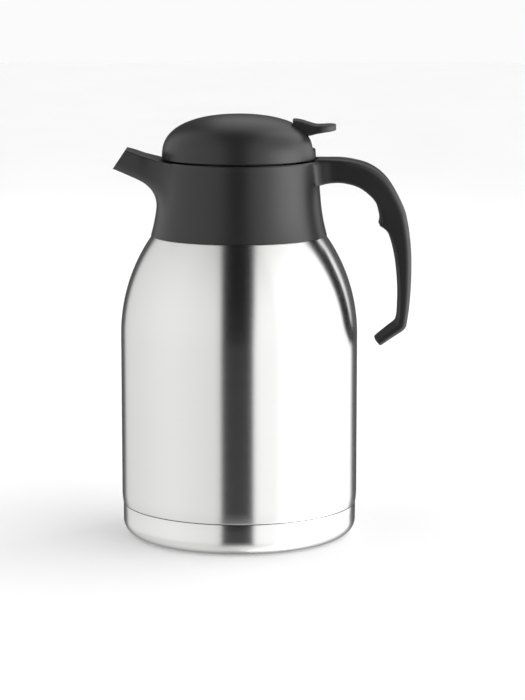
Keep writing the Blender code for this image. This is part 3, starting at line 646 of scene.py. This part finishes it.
def vessel_side(body_r, crown_r, crown_angle, neck_r, inset):
    """The shoulder, the crown and the neck fillet of a vessel wall, bottom to top."""
    shoulder_r = SHOULDER_R + body_r - BODY_R
    start = asin((SHELL_CROWN_Z - SHOULDER_Z) / shoulder_r)
    end = radians(crown_angle)
    crown_centre_r = body_r - shoulder_r + (shoulder_r - crown_r) * cos(start)
    crown_centre_z = SHOULDER_Z + (shoulder_r - crown_r) * sin(start)
    foot_r = crown_centre_r + crown_r * cos(end)
    foot_z = crown_centre_z + crown_r * sin(end)
    fillet = (foot_r - neck_r) / (1.0 - cos(end))
    side = arc(body_r - shoulder_r, SHOULDER_Z, shoulder_r - inset, 0.0, degrees(start), 40)
    side += arc(crown_centre_r, crown_centre_z, crown_r - inset, degrees(start), crown_angle, 8)[1:]
    side += arc(foot_r + fillet * cos(end), foot_z + fillet * sin(end), fillet + inset,
                180.0 + crown_angle, 180.0, 10)[1:]
    return side


def shell_side(inset):
    return vessel_side(BODY_R, SHELL_CROWN_R, SHELL_CROWN_ANGLE, SHELL_NECK_R, inset)


def liner_line(inset):
    """The liner's outside, or its inside one wall further in, from its floor's middle up."""
    corner_r, corner_z = LINER_R - LINER_CORNER_R, LINER_FLOOR_Z + LINER_CORNER_R
    line = [(0.0, LINER_FLOOR_Z + inset), (corner_r / 2, LINER_FLOOR_Z + inset)]
    line += arc(corner_r, corner_z, LINER_CORNER_R - inset, 270.0, 360.0, 12)
    return line + vessel_side(LINER_R, LINER_CROWN_R, LINER_CROWN_ANGLE, LINER_NECK_R, inset)


def make_shell():
    """The outer wall, drawn in a little towards its rolled foot."""
    steps = 12
    foot = []
    for i in range(1, steps + 1):
        t = i / steps
        r = BODY_R - (BODY_R - FOOT_R) * (1.0 - t) ** 2
        foot.append((r, SHELL_FOOT_Z + FOOT_LIFT + (FOOT_TOP_Z - SHELL_FOOT_Z) * t))
    straight = [(BODY_R, float(z)) for z in range(30, 111, 10)]
    rim = arc(FOOT_R - RIM_R, SHELL_FOOT_Z + RIM_R, RIM_R, -180.0, 0.0, 6)
    outer = rim + foot + straight + shell_side(0.0) + [(SHELL_NECK_R, SHELL_TOP_Z)]
    inner = [(BODY_R - SHELL_WALL, FOOT_TOP_Z)] + shell_side(SHELL_WALL)
    inner.append((SHELL_NECK_R - SHELL_WALL, SHELL_TOP_Z))
    return turned("outer_shell_fine", outer + inner[::-1], STEEL)


def make_cup():
    corner_r, corner_z = CUP_R - CUP_CORNER_R, CUP_FOOT_Z + CUP_CORNER_R
    outer = arc(CUP_R - RIM_R, CUP_TOP_Z - RIM_R, RIM_R, 90.0, 0.0, 4)
    outer += [(CUP_R, corner_z + rise) for rise in CUP_SIDE_RISES]
    outer += arc(corner_r, corner_z, CUP_CORNER_R, 0.0, -90.0, 14)
    outer += [(corner_r * t, CUP_FOOT_Z) for t in (0.8, 0.4, 0.0)]
    inner = [(corner_r * t, CUP_FOOT_Z + CUP_WALL) for t in (0.0, 0.5)]
    inner += arc(corner_r, corner_z, CUP_CORNER_R - CUP_WALL, -90.0, 0.0, 8)
    inner.append((CUP_R - CUP_WALL, CUP_TOP_Z))
    return turned("base_cup_fine", inner + outer, STEEL, closed=False)


def collar_radius(z):
    cone = COLLAR_FLARE_R - (z - COLLAR_FLARE_Z) * tan(COLLAR_TAPER)
    centre_r = COLLAR_FLARE_R + COLLAR_FLARE_ARC * cos(COLLAR_TAPER)
    centre_z = COLLAR_FLARE_Z + COLLAR_FLARE_ARC * sin(COLLAR_TAPER)
    flare = centre_r - np.sqrt(np.maximum(COLLAR_FLARE_ARC ** 2 - (centre_z - z) ** 2, 1.0))
    return np.where(z >= COLLAR_FLARE_Z, cone, flare)


def soft_min(a, b, k):
    h = np.clip(0.5 + 0.5 * (b - a) / k, 0.0, 1.0)
    return b * (1 - h) + a * h - k * h * (1 - h)


def soft_max(a, b, k):
    return -soft_min(-a, -b, k)


SPOUT_RUN = np.array(through_keys(SPOUT_KEYS, 10))


def height_line(out, x_column, z_column, distance):
    """A spout edge line's height over x, and the factor that turns it into a distance."""
    xs, zs = -SPOUT_RUN[:, x_column], SPOUT_RUN[:, z_column]
    slope = np.gradient(zs, xs)
    flat = 1.0 / np.sqrt(1.0 + slope ** 2)
    return distance(np.interp(out, xs, zs)) * np.interp(out, xs, flat)


def collar_field(x, y, z):
    """Under zero inside the collar and its beak, whose sides run into the wall with a fillet."""
    out = -x
    wall = np.hypot(x, y) - collar_radius(z)
    middle = -(SPOUT_RUN[:, 0] + SPOUT_RUN[:, 2]) / 2
    side = np.abs(y) - np.interp(out, middle, SPOUT_RUN[:, 4])
    under = height_line(out, 2, 3, lambda line: line - z)
    top = height_line(out, 0, 1, lambda line: z - np.maximum(line, COLLAR_TOP_Z))
    beak = soft_max(soft_max(under, side, UNDER_ROUND), BEAK_START - out, BEAK_START_ROUND)
    return soft_max(soft_min(wall, beak, SPOUT_FILLET), top, TOP_ROUND)


def last_inside(inside, count, furthest):
    """How far each of several rays runs before it leaves a form, by halving."""
    low, high = np.zeros(count), np.full(count, furthest)
    for _ in range(HALVINGS):
        middle = (low + high) / 2
        held = inside(middle)
        low, high = np.where(held, middle, low), np.where(held, high, middle)
    return low


def make_collar_skin():
    """The collar's outside as a grid of rays from its core, each cut where the field is zero."""
    turn = np.radians(np.concatenate([np.arange(0.0, 28.0, 0.5), np.arange(28.0, 180.1, 1.9)]))
    turn = np.concatenate([turn, -turn[1:-1][::-1]])               # from the spout, finest there, both ways
    aims = np.concatenate([np.linspace(174.0, 196.0, 14), np.linspace(196.6, 212.0, 26)])
    starts = np.minimum(aims + CORE_DROP, CORE_TOP_Z)
    rays = [(start_z, atan2(aim_z - start_z, CORE_TO_WALL)) for start_z, aim_z in zip(starts, aims)]
    climbs = np.concatenate([np.arange(17.0, 46.0, 0.6), np.arange(46.0, 91.0, 3.0)])
    rays += [(CORE_TOP_Z, radians(climb)) for climb in climbs]
    rows = []
    for start_z, rise in rays:

        def point(distance):
            r = CORE_R + cos(rise) * distance
            return -r * np.cos(turn), r * np.sin(turn), start_z + sin(rise) * distance

        reach = last_inside(lambda distance: collar_field(*point(distance)) < 0, len(turn), RAY_REACH)
        rows.append(np.stack(point(reach), axis=1).tolist())
    return grid_skin("collar_fine", rows)


def make_collar():
    collar = make_collar_skin()
    (top_x, top_z), (low_x, low_z) = SPOUT_TIP
    reach_x, reach_z = (low_x - top_x) * 1.5, (low_z - top_z) * 1.5
    tip = [(top_x - reach_x, top_z - reach_z), (low_x + reach_x, low_z + reach_z),
           (low_x + reach_x - 40.0, low_z + reach_z - 20.0), (top_x - reach_x - 40.0, top_z - reach_z + 20.0)]
    cut(collar, plate_along_y("tip_cut", tip, 30.0))
    cut(collar, block("foot_cut", (-80.0, -80.0, 150.0), (80.0, 80.0, COLLAR_FOOT_Z)))

    top = COLLAR_TOP_Z - TOP_WALL
    inside = [(0.0, ABOVE_Z), (MOUTH_R, ABOVE_Z), (MOUTH_R, top), (COLLAR_TOP_R - COLLAR_WALL, top)]
    inside += [(float(collar_radius(z)) - COLLAR_WALL, z) for z in (COLLAR_FLARE_Z, INNER_FLARE_Z)]
    inside += FOOT_SEAT + [(0.0, FOOT_SEAT[-1][1])]
    cut(collar, turned("collar_inside", inside, closed=False))

    tunnel = block("pour_tunnel", TUNNEL_LOW, TUNNEL_HIGH)
    tunnel_r = RING_OUTER_R + TUNNEL_GAP
    cut(tunnel, rod("tunnel_end", (0.0, 0.0, INNER_FLARE_Z), (0.0, 0.0, ABOVE_Z), tunnel_r, ROUND))
    add(collar, tunnel)
    channel = [section(key, *CHANNEL_ROUNDS) for key in through_keys(CHANNEL_KEYS, 8)]
    cut(collar, grid_skin("pour_channel", channel))
    return dress(collar, BLACK)


def root_section(key):
    """A handle section that widens where it comes near the collar's wall."""
    outer_x, outer_z, inner_x, inner_z, half = key
    depth = hypot(outer_x - inner_x, outer_z - inner_z)
    outer, inner = np.array((outer_x, 0.0, outer_z)), np.array((inner_x, 0.0, inner_z))
    centre = (outer + inner) / 2
    up = (outer - inner) / depth
    aim = np.array(section(key, *HANDLE_ROUNDS)) - centre
    aim /= np.linalg.norm(aim, axis=1, keepdims=True)
    outer_blend, inner_blend = (ROUND_TO_BLEND * width for width in HANDLE_ROUNDS)

    def inside(distance):
        spot = centre + aim * distance[:, None]
        x, y, z = spot.T
        wall = np.hypot(x, y) - collar_radius(z)
        height = (spot - inner) @ up
        field = soft_max(soft_min(wall, np.abs(y) - half, ROOT_FILLET), height - depth, outer_blend)
        return soft_max(field, -height, inner_blend) < 0

    return (centre + aim * last_inside(inside, len(aim), RAY_REACH)[:, None]).tolist()


def make_handle():
    arm = through_keys(HANDLE_KEYS, 10) + through_keys(GRIP_KEYS, 10)[1:]
    outside = np.array(through_keys(HANDLE_KEYS + GRIP_KEYS[1:], 10))      # smooth past the finger stop
    for _ in range(OUTSIDE_SMOOTHING):
        outside[1:-1, :2] = (outside[:-2, :2] + 2 * outside[1:-1, :2] + outside[2:, :2]) / 4
    run = [(*outer[:2], *inner[2:4], outer[4]) for outer, inner in zip(outside.tolist(), arm)]
    run += through_keys(HOOK_KEYS, 6)[1:]
    handle = grid_skin("handle_fine", [
        root_section(key) if key[0] < ROOT_END_X and key[1] > COLLAR_FLARE_Z else section(key, *HANDLE_ROUNDS)
        for key in run])
    seat_r = COLLAR_TOP_R + SEAT_GAP
    seat = [(0.0, ABOVE_Z), (seat_r, ABOVE_Z), (seat_r, COLLAR_TOP_Z - 1.0)]
    seat += [(float(collar_radius(z)) + SEAT_GAP, z) for z in (COLLAR_FLARE_Z, INNER_FLARE_Z)]
    seat.append((0.0, INNER_FLARE_Z))
    cut(handle, turned("handle_seat", seat, closed=False))
    return dress(handle, BLACK)


def dome_line(shrink, steps):
    """The dome from its apex down to its rim: a flattened superellipse."""
    points = []
    for i in range(steps + 1):
        t = radians(90.0 - 90.0 * i / steps)
        r = (DOME_R - shrink) * max(cos(t), 0.0) ** (2 / DOME_EXPONENT_R)
        z = DOME_BASE_Z + (DOME_TOP_Z - DOME_BASE_Z - shrink) * sin(t) ** (2 / DOME_EXPONENT_Z)
        points.append((r if i else 0.0, z))
    return points


def make_dome():
    rim = [(DOME_R, DOME_RIM_Z - drop) for drop in (0.1, 0.7)]
    rim += arc(DOME_R - DOME_EDGE, DOME_FOOT_Z + DOME_EDGE, DOME_EDGE, 0.0, -90.0, 5)
    rim.append((DOME_R - DOME_WALL, DOME_FOOT_Z))
    outer = [(r, z) for r, z in dome_line(0.0, 72) if z > DOME_RIM_Z]
    inner = [(r, z) for r, z in dome_line(DOME_WALL, 40) if z > DOME_BASE_Z + 0.3]
    dome = turned("lid_dome_fine", outer + rim + inner[::-1], closed=False)
    half = LEVER_HALF_WIDTH + SLOT_GAP
    slot_ends = ((SLOT_FRONT_X, -half, SLOT_FLOOR_Z), (60.0, half, DOME_TOP_Z + 10.0))
    cut(dome, block("lever_slot", *slot_ends))
    return dress(dome, BLACK)


def paddle_half_width(x):
    if x <= PADDLE_END_X:
        return LEVER_HALF_WIDTH
    t = (x - PADDLE_END_X) / (PADDLE_TIP_X - PADDLE_END_X)
    return LEVER_HALF_WIDTH * sqrt(1.0 - t * t)


def make_lever():
    """The paddle outside, and under the dome an arm that forks round the valve's stem."""
    paddle = [section((x, top, x, low, paddle_half_width(x)), *PADDLE_ROUNDS, 5)
              for x, top, low in through_keys(PADDLE_KEYS, 8)]
    lever = grid_skin("lever_fine", paddle)
    pivot_x, _, pivot_z = box_centre("lever_pin")
    arm = arc(*ARM_END, 90.0, 270.0, 12) + ARM_LOW
    arm += arc(pivot_x, pivot_z, HUB_R, 230.0, 320.0, 10) + ARM_TOP
    add(lever, plate_along_y("lever_arm", arm, ARM_HALF))
    add(lever, rod("lever_hub", (pivot_x, -HUB_HALF, pivot_z), (pivot_x, HUB_HALF, pivot_z), HUB_R))
    cut(lever, block("stem_fork", *FORK))
    hole_end = LEVER_HALF_WIDTH + 1.0
    cut(lever, rod("hub_hole", (pivot_x, -hole_end, pivot_z), (pivot_x, hole_end, pivot_z), PIN_HOLE_R))
    return dress(lever, BLACK)


def make_liner():
    lip_r = LINER_NECK_R - LINER_WALL + LIP_ROUND
    inner = liner_line(LINER_WALL) + arc(lip_r, LIP_TOP_Z - LIP_ROUND, LIP_ROUND, 180.0, 90.0, 4)
    outer = liner_line(0.0) + [(LINER_NECK_R, LIP_Z), (SHELL_NECK_R, LIP_Z), (SHELL_NECK_R, LIP_TOP_Z)]
    return turned("inner_liner_fine", inner + outer[::-1], LINER_STEEL, closed=False)


def thread_ridge(name, wall_r, outward, start_angle, start_z):
    """One thread ridge, rooted in its wall, with a run-out at each end."""
    steps, run_out = 80, 10
    root_r = wall_r - outward * RIDGE_ROOTED
    rows = []
    for i in range(steps + 1):
        turn = THREAD_SWEEP * i / steps
        angle = radians(start_angle + turn)
        z = start_z + LEAD * turn / 360.0
        crest_r = wall_r + outward * RIDGE_HEIGHT * min(1.0, (i + 2) / run_out, (steps - i + 2) / run_out)
        corners = ((root_r, -RIDGE_ROOT_HALF), (crest_r, -RIDGE_CREST_HALF),
                   (crest_r, RIDGE_CREST_HALF), (root_r, RIDGE_ROOT_HALF))
        rows.append([(r * cos(angle), r * sin(angle), z + dz) for r, dz in corners])
    return grid_skin(name, rows)


def add_thread(piece, wall_r, outward, rise):
    """Three ridges on a wall; outward is 1 for ridges outside it and -1 for ridges inside."""
    for k in range(STARTS):
        start_angle = THREAD_START + 360.0 * k / STARTS
        add(piece, thread_ridge(f"ridge_{k}", wall_r, outward, start_angle, THREAD_Z + rise))


def make_neck_ring():
    edge = MOULDED_EDGE
    profile = arc(RING_SLEEVE_R + edge, RING_TOP_Z - edge, edge, 180.0, 90.0, 4)
    profile += arc(RING_OUTER_R - edge, RING_TOP_Z - edge, edge, 90.0, 0.0, 4)
    profile += [
        (RING_OUTER_R, RING_STEP_Z), (RING_SKIRT_R, LEDGE_TOP_Z), (RING_SKIRT_R, RING_SKIRT_FOOT_Z),
        (RING_SKIRT_INNER_R, RING_SKIRT_FOOT_Z), (RING_SKIRT_INNER_R, LEDGE_Z),
        (LEDGE_R, LEDGE_Z), (LEDGE_R, LEDGE_TOP_Z), (RING_SLEEVE_R, LEDGE_TOP_Z),
    ]
    ring = turned("neck_ring_fine", profile)
    add_thread(ring, RING_SLEEVE_R, -1, 0.0)
    cut(ring, block("ring_window", *RING_WINDOW))
    return dress(ring, INNER)


def make_stopper():
    """The threaded stopper: its plug's floor holds the valve's seat, its bosses the lid's screws."""
    edge = MOULDED_EDGE
    floor_top, step_top = PLUG_Z + FLOOR_WALL, STOPPER_STEP_Z + FLOOR_WALL
    profile = [(STOPPER_INNER_R, STOPPER_TOP_Z), (STOPPER_R, STOPPER_TOP_Z)]
    profile += arc(STOPPER_R - edge, STOPPER_STEP_Z + edge, edge, 0.0, -90.0, 4)
    profile.append((PLUG_R, STOPPER_STEP_Z))
    profile += arc(PLUG_R - PLUG_EDGE, PLUG_Z + PLUG_EDGE, PLUG_EDGE, 0.0, -90.0, 8)
    profile += [
        (SEAT_R, PLUG_Z), (SEAT_R, floor_top), (PLUG_INNER_R, floor_top), (PLUG_INNER_R, step_top),
        (STOPPER_INNER_R, step_top),
    ]
    stopper = turned("stopper_body_fine", profile)
    add_thread(stopper, STOPPER_R, 1, LEAD / STARTS / 2)
    cut(stopper, block("stopper_window", *STOPPER_WINDOW))
    for screw in LID_SCREWS:
        x, y, _ = box_centre(screw)
        for change, (low_z, high_z, radius, facets) in ((add, BOSS), (cut, BOSS_HOLE)):
            change(stopper, rod("screw_boss", (x, y, low_z), (x, y, high_z), radius, facets))
    return dress(stopper, INNER)


def make_gasket(node):
    outer_r, low_z, high_z = round_box(node)
    bore_r, corner = GASKET_BORE_R[node], GASKET_ROUND
    corners = (
        (outer_r - corner, high_z - corner, 90.0), (outer_r - corner, low_z + corner, 0.0),
        (bore_r + corner, low_z + corner, -90.0), (bore_r + corner, high_z - corner, -180.0),
    )
    profile = []
    for r, z, start in corners:
        profile += arc(r, z, corner, start, start - 90.0, 4)
    return turned(f"{node}_fine", profile, SILICONE)


def make_o_ring():
    centre_r, centre_z, radius = O_RING
    return turned("stopper_o_ring_fine", arc(centre_r, centre_z, radius, 0.0, -345.0, 23), SILICONE)


def make_spring():
    """An open coil of round wire, wound a little closer at its ends."""
    steps, wire = 28 * SPRING_TURNS, SPRING_WIRE / 2
    low, high = SPRING_LOW_Z + wire, SPRING_TOP_Z - wire
    rows = []
    for i in range(steps + 1):
        turn = 2 * pi * SPRING_TURNS * i / steps
        z = low + (high - low) * np.interp(i / steps, SPRING_WAY, SPRING_RISE)
        rows.append([((SPRING_R + wire * cos(a)) * cos(turn), (SPRING_R + wire * cos(a)) * sin(turn),
                      z + wire * sin(a)) for a in (2 * pi * k / 12 for k in range(12))])
    return grid_skin("valve_spring_fine", rows, BRIGHT)


def build():
    place(make_shell(), "jug", "brushed_steel", "outer_shell")
    place(make_cup(), "jug", "brushed_steel", "base_cup")
    place(make_collar(), "jug", "black_plastic", "collar")
    place(make_handle(), "jug", "black_plastic", "handle")
    place(make_dome(), "lid", "black_plastic", "lid_dome")
    place(make_lever(), "lever", "black_plastic", "lever")
    spring = place(make_spring(), "lid", "bright_steel", "valve_spring")
    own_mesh(spring)

    place(make_liner(), "jug", "brushed_steel", "inner_liner")
    place(make_neck_ring(), "jug", "inner_plastic", "neck_ring")
    place(make_gasket("mouth_gasket"), "jug", "silicone", "mouth_gasket")
    place(make_stopper(), "lid", "inner_plastic", "stopper_body")
    place(make_gasket("stopper_gasket"), "lid_seal", "silicone", "stopper_gasket")
    place(make_o_ring(), "lid", "silicone", "stopper_o_ring")

    kept = {
        LINER_STEEL: ("vacuum_base_plate",),
        GLASS: ("vacuum_seal_plug",),
        BRIGHT: ("getter", "handle_screw_1", "handle_screw_2", "lever_pin", "valve_stem",
                 "lid_screw_1", "lid_screw_2", "lid_screw_3"),
        INNER: ("stopper_deck", "stem_cap", "valve_disc"),
        SILICONE: ("stem_seal", "valve_gasket"),
    }
    for material, names in kept.items():
        for name in names:
            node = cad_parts[name]
            for slot in node.material_slots:
                slot.material = material


# Camera, floor and light -------------------------------------------------------------------

def make_camera():
    camera = bpy.data.objects.new("camera", bpy.data.cameras.new("camera"))
    camera.data.sensor_width = 36.0
    camera.data.lens = CAMERA_LENS
    camera.location = CAMERA_PLACE
    camera.rotation_euler = (radians(CAMERA_TILT), 0.0, 0.0)
    bpy.context.scene.collection.objects.link(camera)
    bpy.context.scene.camera = camera


def make_floor():
    bm = bmesh.new()
    bmesh.ops.create_circle(bm, cap_ends=True, segments=96, radius=FLOOR_R)
    floor = link("floor", bm, FLOOR)
    floor.visible_glossy = False


def wall_light(nodes, x, y):
    """The strength of the soft walls of light, by the angle round the jug."""
    turn = nodes.maths("DIVIDE", nodes.maths("ARCTAN2", x, nodes.maths("MULTIPLY", y, -1.0)), 2 * pi)
    walls = nodes.node("ShaderNodeValToRGB")
    nodes.wire(nodes.maths("ADD", turn, 0.5), walls.inputs["Fac"])
    marks = walls.color_ramp.elements
    for angle, _ in WALL_LIGHT[1:-1]:
        marks.new(angle / 360.0 + 0.5)
    for mark, (angle, level) in zip(marks, WALL_LIGHT):
        mark.position = angle / 360.0 + 0.5
        mark.color = (*(level / WALL_PEAK,) * 3, 1.0)
    return nodes.maths("MULTIPLY", walls.outputs["Color"], WALL_PEAK)


def make_world():
    """Soft walls of light round the jug, with a dark opening in front that runs on overhead."""
    world = bpy.data.worlds.new("studio")
    bpy.context.scene.world = world
    world.use_nodes = True
    world.node_tree.nodes.clear()
    nodes = Nodes(world.node_tree)
    maths = nodes.maths

    def ramp(value, *limits):
        return nodes.map_range(value, *limits, curve="SMOOTHSTEP")

    parts = nodes.node("ShaderNodeSeparateXYZ")
    nodes.wire(nodes.node("ShaderNodeTexCoord").outputs["Generated"], parts.inputs["Vector"])
    x, y, z = (parts.outputs[axis] for axis in "XYZ")
    light = maths("MINIMUM", wall_light(nodes, x, y), ramp(z, *WALL_LIMIT))
    light = maths("MAXIMUM", light, ramp(z, *GROUND_LIGHT))
    right_edge = maths("SUBTRACT", x, ramp(z, *OPENING_RIGHT_LEAN))
    outside = ramp(x, *OPENING_LEFT)
    for edge in (ramp(right_edge, *OPENING_RIGHT), ramp(y, *OPENING_BACK), ramp(z, *OPENING_FOOT)):
        outside = maths("MAXIMUM", outside, edge)
    light = maths("MULTIPLY", light, outside)
    for fade in (HIGH_FADE, OVERHEAD_FADE, GROUND_FADE):
        light = maths("MULTIPLY", light, ramp(z, *fade))

    backdrop = nodes.node("ShaderNodeLightPath").outputs["Is Camera Ray"]
    background = nodes.node("ShaderNodeBackground")
    background.inputs["Color"].default_value = (1.0, 1.0, 1.0, 1.0)
    strength = nodes.node("ShaderNodeMix", data_type="FLOAT")
    lit, seen = [socket for socket in strength.inputs if socket.type == "VALUE"][1:]
    nodes.wire(backdrop, strength.inputs["Factor"])
    nodes.wire(maths("ADD", light, LEAST_LIGHT), lit)
    seen.default_value = BACKDROP_LIGHT
    result = [socket for socket in strength.outputs if socket.type == "VALUE"][0]
    nodes.wire(result, background.inputs["Strength"])
    output = nodes.node("ShaderNodeOutputWorld")
    nodes.wire(background.outputs["Background"], output.inputs["Surface"])
    bpy.context.scene.view_settings.view_transform = "Standard"


def make_light(name, kind, place, energy):
    light = bpy.data.objects.new(name, bpy.data.lights.new(name, kind))
    light.location = place
    light.data.energy = energy
    bpy.context.scene.collection.objects.link(light)
    return light


def make_lights():
    """A wide lamp behind and above the jug, and a soft sun that keeps the floor white."""
    top = make_light("top_light", "AREA", TOP_LIGHT_PLACE, TOP_LIGHT_ENERGY)
    top.data.size = TOP_LIGHT_SIZE
    top.rotation_euler = (Vector(TOP_LIGHT_AIM) - top.location).to_track_quat("-Z", "Y").to_euler()
    fill = make_light("floor_fill", "SUN", (0.0, 0.0, 3.0), FLOOR_FILL_ENERGY)
    fill.data.angle = radians(FLOOR_FILL_ANGLE)
    fill.visible_glossy = False


make_camera()
make_floor()
make_world()
make_lights()
build()
